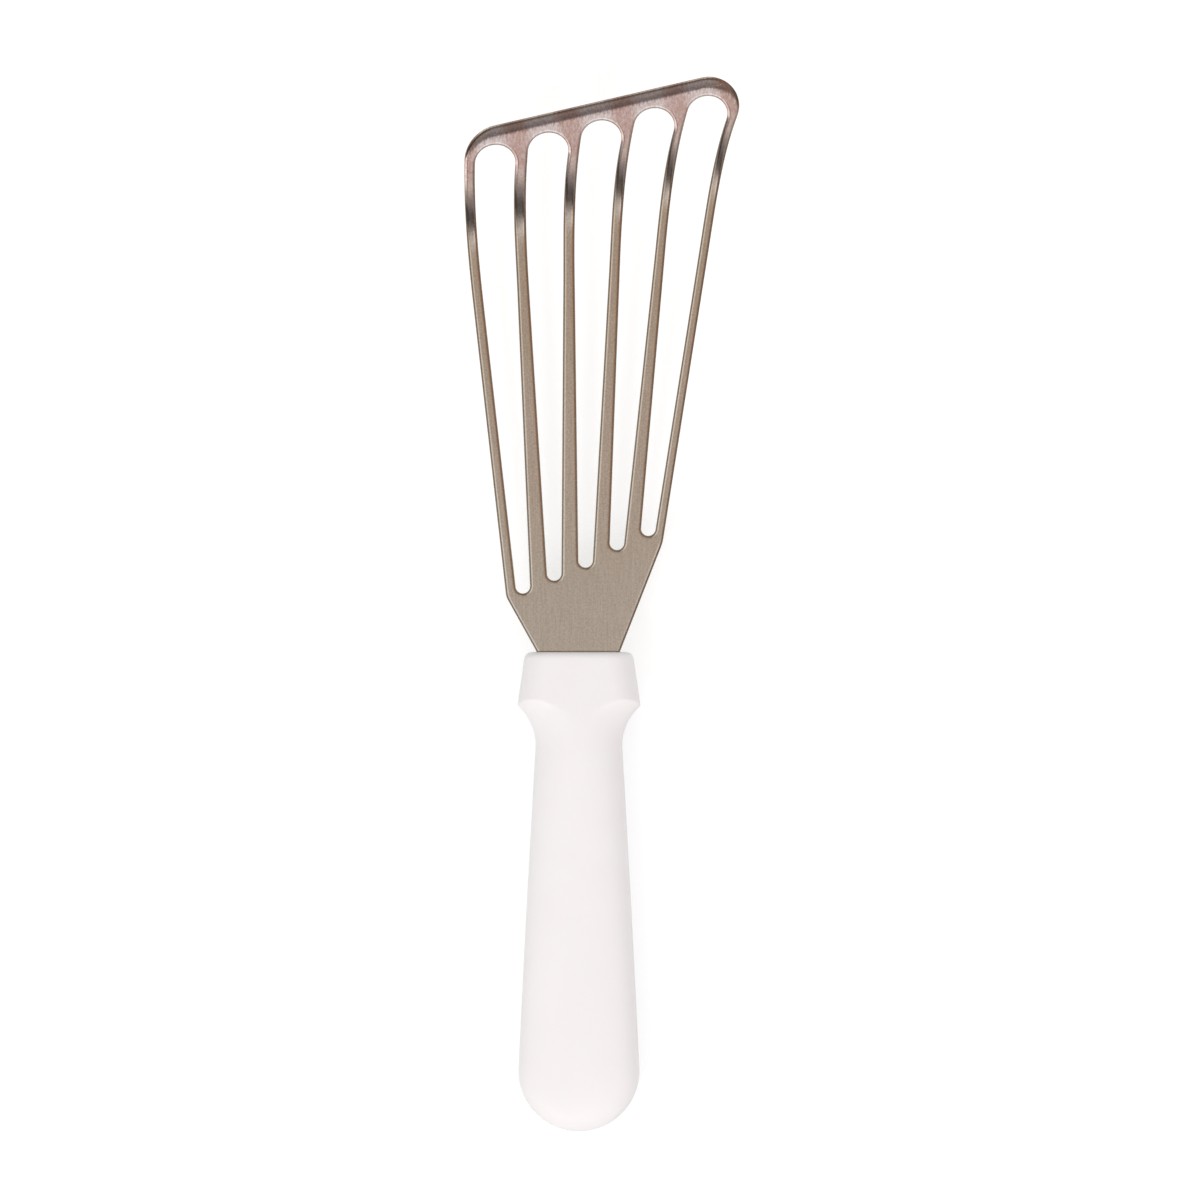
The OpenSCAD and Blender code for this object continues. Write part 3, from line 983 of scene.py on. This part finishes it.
@dataclass
class Handle:
    """The moulded handle. Sizes in millimetres and degrees, depths behind the collar's front."""

    length: float = 139.0
    front_w: float = 31.2
    front_t: float = 16.0
    guard_w: float = 35.7
    guard_t: float = 18.2
    guard_back: float = 15.5
    collar_r: float = 7.9
    front_r: float = 2.0
    neck_w: float = 25.1
    neck_t: float = 19.0
    neck_back: float = 27.2
    scoop_r: float = 15.4
    spine_rise: float = 0.24
    rise_power: float = 4.0
    butt_w: float = 35.1
    butt_t: float = 20.4
    side_bow: float = 0.15
    flare_slope: float = 45.0
    neck_power: float = 2.05
    butt_power: float = 3.2
    end_power: float = 3.0
    crest_round: float = 0.25
    mouth_w: float = 24.4
    mouth_t: float = 1.2
    mouth_x: float = -0.2
    mouth_depth: float = 3.0
    crest_zone: float = 1.2
    around: int = 176
    front_steps: int = 6
    collar_steps: int = 13
    crest_steps: int = 12
    scoop_steps: int = 21
    grip_steps: int = 39
    butt_steps: int = 24
    mouth_steps: int = 16
    halvings: int = 24
    finish: MouldedPlastic = field(default_factory=MouldedPlastic)

    def collar_half(self, d: Points) -> tuple[Points, Points]:
        """Sizes the collar.

        Args:
            d: Depths behind its front.

        Returns:
            Half widths and half thicknesses there.
        """
        t = d / self.guard_back
        wide = (self.front_w + (self.guard_w - self.front_w) * t) / 2
        thick = (self.front_t + (self.guard_t - self.front_t) * t) / 2
        return wide, thick

    def scoop_half(self, d: Points) -> tuple[Points, Points]:
        """Sizes the scooped neck.

        Args:
            d: Depths behind the collar's front.

        Returns:
            Half widths and half thicknesses there.
        """
        slope = math.radians(self.flare_slope)
        arc, rise = self.scoop_r * math.sin(slope), self.scoop_r * (1 - math.cos(slope))
        x = np.maximum(0, self.neck_back - d)
        inner = np.sqrt(np.maximum(0, self.scoop_r**2 - np.minimum(x, arc) ** 2))
        flare = np.where(x <= arc, self.scoop_r - inner, rise + (x - arc) * math.tan(slope))
        thick = self.neck_t / 2 + self.spine_rise * (flare / rise) ** self.rise_power
        return self.neck_w / 2 + flare, thick

    def grip_half(self, s: Points) -> tuple[Points, Points]:
        """Sizes the grip.

        Args:
            s: Places along it, from 0 at the neck to 1 at the butt.

        Returns:
            Half widths and half thicknesses there.
        """
        wide = (self.neck_w + (self.butt_w - self.neck_w) * s) / 2
        thick = (self.neck_t + (self.butt_t - self.neck_t) * s) / 2
        return wide + self.side_bow * np.sin(math.pi * s), thick

    @staticmethod
    def oval(a: Points, half: tuple[Points, Points], power: Points) -> Points:
        """Distance from the middle of an oval section to its outline in the direction a."""
        across = (np.abs(np.cos(a)) / half[0]) ** power + (np.abs(np.sin(a)) / half[1]) ** power
        return across ** (-1 / power)

    @staticmethod
    def soft_box(a: Points, half: tuple[Points, Points], r: float) -> Points:
        """Distance from the middle of a rounded box section to its outline.

        Args:
            a: Directions from the middle, in radians.
            half: Half width and half thickness.
            r: Radius of the corners.

        Returns:
            The distances.
        """
        c, s = np.abs(np.cos(a)), np.abs(np.sin(a))
        x, y = half[0] - r, half[1] - r
        m = c * x + s * y
        corner = m + np.sqrt(np.maximum(0, m * m - x * x - y * y + r * r))
        on_top, on_side = s * x >= c * half[1], c * y >= s * half[0]
        top, edge = half[1] / np.maximum(s, TINY), half[0] / np.maximum(c, TINY)
        return np.where(on_top | on_side, np.where(on_top, top, edge), corner)

    def crests(self, a: Points) -> Points:
        """Finds the depth at which the scoop meets the collar, by halving.

        Args:
            a: Directions from the middle, in radians.

        Returns:
            The depth in each direction.
        """
        low = np.full_like(a, self.front_r)
        high = np.full_like(a, self.neck_back)
        for _ in range(self.halvings):
            d = (low + high) / 2
            collar = self.soft_box(a, self.collar_half(d), self.collar_r)
            outside = self.oval(a, self.scoop_half(d), self.neck_power) > collar
            low, high = np.where(outside, d, low), np.where(outside, high, d)
        return (low + high) / 2

    def head(self, a: Points, d: Points) -> Points:
        """Distance to the surface of the collar and scoop together, their crest slightly rounded.

        Args:
            a: Directions from the middle, in radians.
            d: Depths behind the collar's front.

        Returns:
            The distances from the middle.
        """
        box = self.soft_box(a, self.collar_half(d), self.collar_r)
        neck = self.oval(a, self.scoop_half(d), self.neck_power)
        near = np.maximum(0, self.crest_round - np.abs(box - neck)) / self.crest_round
        return np.minimum(box, neck) - near**2 * self.crest_round / 4

    def rings(self) -> list[tuple[Points, Points, Points]]:
        """Draws the handle's skin as rings from the collar's front to the butt.

        Returns:
            Directions, distances from the middle and depths of each ring's points.
        """
        turn = 2 * math.pi * np.arange(self.around) / self.around
        a = np.arctan2(self.butt_t * np.sin(turn), self.butt_w * np.cos(turn))
        crest, near = self.crests(a), self.crest_zone
        made = []
        for q in np.radians(np.linspace(0, 90, self.front_steps + 1)):
            inset, d = self.front_r * (1 - math.sin(q)), self.front_r * (1 - math.cos(q))
            wide, thick = self.collar_half(np.full_like(a, d))
            reach = self.soft_box(a, (wide - inset, thick - inset), self.collar_r - inset)
            made.append((a, reach, np.full_like(a, d)))
        for s in np.linspace(0, 1, self.collar_steps + 1)[1:]:
            d = self.front_r + (crest - near - self.front_r) * s
            made.append((a, self.head(a, d), d))
        for s in np.linspace(-near, near, self.crest_steps + 1)[1:-1]:
            made.append((a, self.head(a, crest + s), crest + s))
        for s in np.linspace(0, 1, self.scoop_steps + 1):
            d = crest + near + (self.neck_back - crest - near) * s
            made.append((a, self.head(a, d), d))
        butt_back, butt_len = self.length - self.butt_w / 2, self.butt_w / 2
        for s in np.linspace(0, 1, self.grip_steps + 1)[1:]:
            power = self.neck_power + (self.butt_power - self.neck_power) * s
            d = np.full_like(a, self.neck_back + (butt_back - self.neck_back) * s)
            made.append((a, self.oval(a, self.grip_half(s), power), d))
        for q in np.radians(np.linspace(0, 90, self.butt_steps + 1)[1:-1]):
            x = math.sin(q)
            thick = self.butt_t / 2 * (1 - x**self.end_power) ** (1 / self.end_power)
            reach = self.oval(a, (butt_len * math.cos(q), thick), self.butt_power)
            made.append((a, reach, np.full_like(a, butt_back + butt_len * x)))
        return made

    def build(self, seat: Seat) -> bpy.types.Object:
        """Builds the handle's mesh in its place.

        Args:
            seat: Where the collar's front lies.

        Returns:
            The handle's object.
        """
        bm = bmesh.new()
        rings = []
        for a, reach, depth in self.rings():
            points = seat.place(np.c_[reach * np.cos(a), -depth, reach * np.sin(a)])
            rings.append([bm.verts.new(p) for p in points])
        for low, high in zip(rings, rings[1:]):
            for k in range(self.around):
                n = (k + 1) % self.around
                bm.faces.new((low[k], high[k], high[n], low[n]))
        end = bm.verts.new(seat.place(np.array([[0.0, -self.length, 0.0]]))[0])
        for k in range(self.around):
            bm.faces.new((rings[-1][k], end, rings[-1][(k + 1) % self.around]))
        self.open_mouth(bm, rings[0], seat)
        piece = mesh_object("moulded_handle", bm)
        log.info("handle: %d faces", len(piece.data.polygons))
        return piece

    def open_mouth(self, bm: bmesh.types.BMesh, rim: list[bmesh.types.BMVert], seat: Seat) -> None:
        """Closes the collar's front with the slit that the blade enters.

        Args:
            bm: The handle's mesh.
            rim: Points round the collar's front face.
            seat: Where the collar's front lies.
        """
        wide, thick = self.mouth_w / 2, self.mouth_t / 2
        xs = np.linspace(-wide, wide, self.mouth_steps + 1)
        slit = [(x, thick) for x in xs[::-1]] + [(x, -thick) for x in xs]
        rows = []
        for depth in (0.0, self.mouth_depth):
            spots = seat.place(np.array([(x + self.mouth_x, -depth, z) for x, z in slit]))
            rows.append([bm.verts.new(p) for p in spots])
        count = len(slit)
        for k in range(count):
            n = (k + 1) % count
            bm.faces.new((rows[0][k], rows[0][n], rows[1][n], rows[1][k]))
        bm.faces.new(rows[1])
        flat = [[Vector((v.co.x, v.co.z, 0)) for v in ring] for ring in (rim, rows[0])]
        corners = rim + rows[0]
        for face in tessellate_polygon(flat):
            bm.faces.new([corners[k] for k in face])

    def dress(self, piece: bpy.types.Object) -> None:
        """Gives the handle its plastic and ties it to the frame.

        Args:
            piece: The handle's object.
        """
        piece.data.materials.append(self.finish.make())
        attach(piece, "root")
        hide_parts("handle")


class Side(Enum):
    """Side that a lamp hangs on, seen by the camera."""

    LEFT = -1
    RIGHT = 1


def band(g: Graph, angle: Socket, stops: Stops) -> Socket:
    """Colour of the surroundings over an angle from -90 to 90 degrees."""
    place = g.math("DIVIDE", g.math("ADD", angle, 90.0), 180.0)
    return g.ramp(place, tuple(((stop + 90) / 180, colour) for stop, colour in stops))


@dataclass(frozen=True)
class Zone:
    """Colours to the tool's left and right, which come in between two angles of lean."""

    comes_in: Pair
    stops: Stops

    def over(self, g: Graph, lean: Socket, turn: Socket, under: object) -> Socket:
        """Lays the zone over a colour, lean being back from straight up and turn to the right."""
        return g.mix(g.span(lean, *self.comes_in), under, band(g, turn, self.stops))


@dataclass
class Studio:
    """White floor, soft light and the camera straight above."""

    frame_width: float = 0.348
    distance: float = 5.0
    centre: Pair = (6.09, 15.08)
    sensor: float = 36.0
    far_clip: float = 50.0
    floor_half: float = 8.0
    floor_drop: float = 0.0002
    floor_matt: Triple = (0.6, 0.6, 0.6)
    floor_glow: float = 0.55
    lamp_size: float = 0.9
    lamp_place: Triple = (0.9, -0.75, 1.3)
    lamp_shift: float = 0.45
    key_watts: float = 10.8
    key_colour: Triple = (1.0, 0.99, 0.985)
    fill_watts: float = 3.7
    fill_colour: Triple = (1.0, 0.94, 0.92)
    skew: float = 13.0
    room_level: float = 0.72
    spread: float = 0.4
    ahead_width: Pair = (0.8, 4.0)
    low_up: Pair = (0.42, 0.66)
    low_lean: Pair = (15.0, 35.0)
    far_lean: Pair = (62.0, 74.0)
    behind: Triple = (0.2, 0.15, 0.12)
    walls: Triple = (0.6, 0.575, 0.55)
    over_blade: Stops = (
        (-90, (0.2, 0.15, 0.12)),
        (-18, (0.2, 0.15, 0.12)),
        (-6, (0.54, 0.46, 0.4)),
        (0, (0.54, 0.46, 0.4)),
        (2, (0.7, 0.66, 0.66)),
        (5, (0.86, 0.84, 0.87)),
        (8.5, (0.57, 0.54, 0.56)),
        (12, (0.3, 0.28, 0.3)),
        (15, (0.155, 0.145, 0.155)),
        (21, (0.135, 0.125, 0.135)),
        (26, (0.25, 0.235, 0.26)),
        (30, (0.37, 0.33, 0.37)),
        (33, (0.6, 0.52, 0.55)),
        (36, (0.84, 0.74, 0.76)),
        (39, (0.92, 0.83, 0.83)),
        (50, (0.91, 0.86, 0.87)),
        (54, (1.25, 1.22, 1.22)),
        (90, (1.1, 1.1, 1.1)),
    )
    beside_flat: Zone = Zone(
        (-28, -12),
        (
            (-90, (0.14, 0.12, 0.1)),
            (-55, (0.18, 0.15, 0.13)),
            (-38, (0.27, 0.23, 0.2)),
            (-24, (0.4, 0.35, 0.31)),
            (-18, (0.98, 0.95, 0.92)),
            (-9, (0.98, 0.95, 0.92)),
            (-3, (0.58, 0.51, 0.45)),
            (0, (0.54, 0.46, 0.4)),
            (6, (0.52, 0.42, 0.35)),
            (14, (0.42, 0.3, 0.225)),
            (24, (0.31, 0.2, 0.14)),
            (45, (0.26, 0.165, 0.115)),
            (90, (0.22, 0.15, 0.11)),
        ),
    )
    beside_light: Zone = Zone(
        (0.3, 2.2),
        (
            (-90, (0.1, 0.09, 0.08)),
            (-14, (0.22, 0.2, 0.19)),
            (-5, (0.48, 0.45, 0.45)),
            (0, (0.8, 0.78, 0.8)),
            (3, (1.15, 1.12, 1.14)),
            (12, (1.15, 1.12, 1.14)),
            (18, (0.35, 0.25, 0.2)),
            (90, (0.2, 0.14, 0.11)),
        ),
    )
    beside_bend: Zone = Zone(
        (9, 15),
        (
            (-90, (0.07, 0.06, 0.06)),
            (10, (0.07, 0.06, 0.06)),
            (20, (0.3, 0.2, 0.15)),
            (90, (0.25, 0.15, 0.11)),
        ),
    )
    beside_bevel: Zone = Zone(
        (22, 28),
        (
            (-90, (0.5, 0.46, 0.46)),
            (-30, (0.5, 0.46, 0.46)),
            (-10, (0.36, 0.33, 0.33)),
            (0, (0.36, 0.33, 0.35)),
            (26, (0.3, 0.27, 0.27)),
            (36, (0.14, 0.115, 0.11)),
            (90, (0.1, 0.08, 0.07)),
        ),
    )
    beside_tip: Zone = Zone(
        (32, 38),
        (
            (-90, (1.6, 1.6, 1.65)),
            (-14, (1.6, 1.6, 1.65)),
            (-10, (0.45, 0.39, 0.4)),
            (-4, (0.4, 0.35, 0.36)),
            (0, (0.9, 0.85, 0.86)),
            (6, (0.8, 0.73, 0.72)),
            (16, (0.5, 0.43, 0.42)),
            (28, (0.26, 0.21, 0.2)),
            (90, (0.1, 0.07, 0.06)),
        ),
    )
    over_arches: Zone = Zone(
        (50.5, 54),
        (
            (-90, (1.0, 0.97, 0.97)),
            (-45, (1.3, 1.27, 1.28)),
            (-3, (1.4, 1.38, 1.4)),
            (2, (1.2, 1.17, 1.17)),
            (10, (0.9, 0.83, 0.82)),
            (20, (0.55, 0.48, 0.47)),
            (34, (0.24, 0.19, 0.18)),
            (90, (0.1, 0.07, 0.06)),
        ),
    )

    def floor(self) -> bpy.types.Object:
        """Lays the white floor.

        Returns:
            The floor's object.
        """
        bm = bmesh.new()
        bmesh.ops.create_grid(bm, x_segments=1, y_segments=1, size=self.floor_half)
        piece = mesh_object("floor", bm)
        piece.location.z = -self.floor_drop
        material = bpy.data.materials.new("white_floor")
        material.use_nodes = True
        g = Graph(material.node_tree)
        path = g.add("LightPath").outputs
        mirrored = g.math("MAXIMUM", path["Is Camera Ray"], path["Is Glossy Ray"])
        seen = g.math("MAXIMUM", mirrored, path["Is Transmission Ray"])
        matt = g.add("BsdfDiffuse", {"Color": (*self.floor_matt, 1)})
        strength = g.math("MULTIPLY", seen, self.floor_glow)
        glow = g.add("Emission", {"Color": WHITE, "Strength": strength})
        both = g.add("AddShader", {0: matt.outputs[0], 1: glow.outputs[0]})
        g.add("OutputMaterial", {0: both.outputs[0]})
        piece.data.materials.append(material)
        return piece

    def sky(self) -> None:
        """Sets the surroundings that the steel mirrors, and a white backdrop behind them."""
        world = bpy.data.worlds.new("studio")
        bpy.context.scene.world = world
        world.use_nodes = True
        g = Graph(world.node_tree)
        way = g.add("TexCoord").outputs["Generated"]
        back = g.dot(way, (*-ahead(-self.skew), 0))
        across = g.dot(way, (*right(-self.skew), 0))
        up = g.add("SeparateXYZ", {0: way}).outputs[2]
        lean = g.math("DEGREES", g.math("ARCTAN2", back, up))
        turn = g.math("DEGREES", g.math("ARCSINE", across))
        straight = band(g, lean, self.over_blade)
        aside = self.beside_flat.over(g, lean, turn, (*self.behind, 1))
        wide = g.math("ABSOLUTE", turn)
        spread = g.math("SUBTRACT", lean, g.math("MULTIPLY", wide, self.spread))
        aside = self.beside_light.over(g, spread, turn, aside)
        for zone in (self.beside_bend, self.beside_bevel, self.beside_tip, self.over_arches):
            aside = zone.over(g, lean, turn, aside)
        mirrored = g.mix(g.span(wide, *self.ahead_width), straight, aside)
        # Seen from low down, the steel mirrors plain walls.
        low = g.span(up, *self.low_up, 1, 0)
        low = g.math("MULTIPLY", low, g.span(lean, *self.low_lean, 1, 0))
        low = g.math("MAXIMUM", low, g.span(lean, *self.far_lean))
        mirrored = g.mix(low, mirrored, (*self.walls, 1))
        path = g.add("LightPath").outputs
        level = self.room_level
        colour = g.mix(path["Is Glossy Ray"], (level, level, level, 1), mirrored)
        colour = g.mix(path["Is Camera Ray"], colour, WHITE)
        shade = g.add("Background", {"Color": colour, "Strength": 1.0})
        g.add("OutputWorld", {0: shade.outputs[0]})

    def lamp(self, name: str, side: Side, watts: float, colour: Triple) -> None:
        """Hangs a soft lamp at one side.

        Args:
            name: Name of the lamp.
            side: Side that it hangs on.
            watts: Its power.
            colour: Colour of its light.
        """
        data = bpy.data.lights.new(name, "AREA")
        data.energy = watts
        data.size = self.lamp_size
        data.color = colour
        lamp = bpy.data.objects.new(name, data)
        bpy.context.scene.collection.objects.link(lamp)
        lamp.visible_glossy = False
        out, along, height = self.lamp_place
        lamp.location = (side.value * out, side.value * self.lamp_shift + along, height)
        aim = Vector((0, 0, 0)) - lamp.location
        lamp.rotation_euler = aim.to_track_quat("-Z", "Y").to_euler()

    def light(self) -> None:
        """Hangs the two lamps, which the steel doesn't mirror."""
        self.lamp("key", Side.LEFT, self.key_watts, self.key_colour)
        self.lamp("fill", Side.RIGHT, self.fill_watts, self.fill_colour)

    def camera(self, seat: Seat) -> None:
        """Sets the camera straight above, with the photograph's framing.

        Args:
            seat: Where the collar's front lies.
        """
        data = bpy.data.cameras.new("camera")
        data.sensor_width = self.sensor
        data.lens = self.sensor * self.distance / self.frame_width
        data.clip_end = self.far_clip
        camera = bpy.data.objects.new("camera", data)
        bpy.context.scene.collection.objects.link(camera)
        x, y = (mark * MM for mark in self.centre)
        camera.location = (seat.x + x, seat.y + y, seat.z + self.distance)
        bpy.context.scene.camera = camera


def main() -> None:
    """Builds the spatula and its studio."""
    logging.basicConfig(level=logging.INFO, format="%(name)s: %(message)s")
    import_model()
    seat = Seat.of_handle()
    studio = Studio()
    studio.camera(seat)
    studio.floor()
    studio.sky()
    studio.light()
    blade = Blade()
    blade.dress(blade.build(seat), seat)
    handle = Handle()
    handle.dress(handle.build(seat))
    bpy.context.scene.view_settings.view_transform = "Standard"


if __name__ == "__main__":
    main()
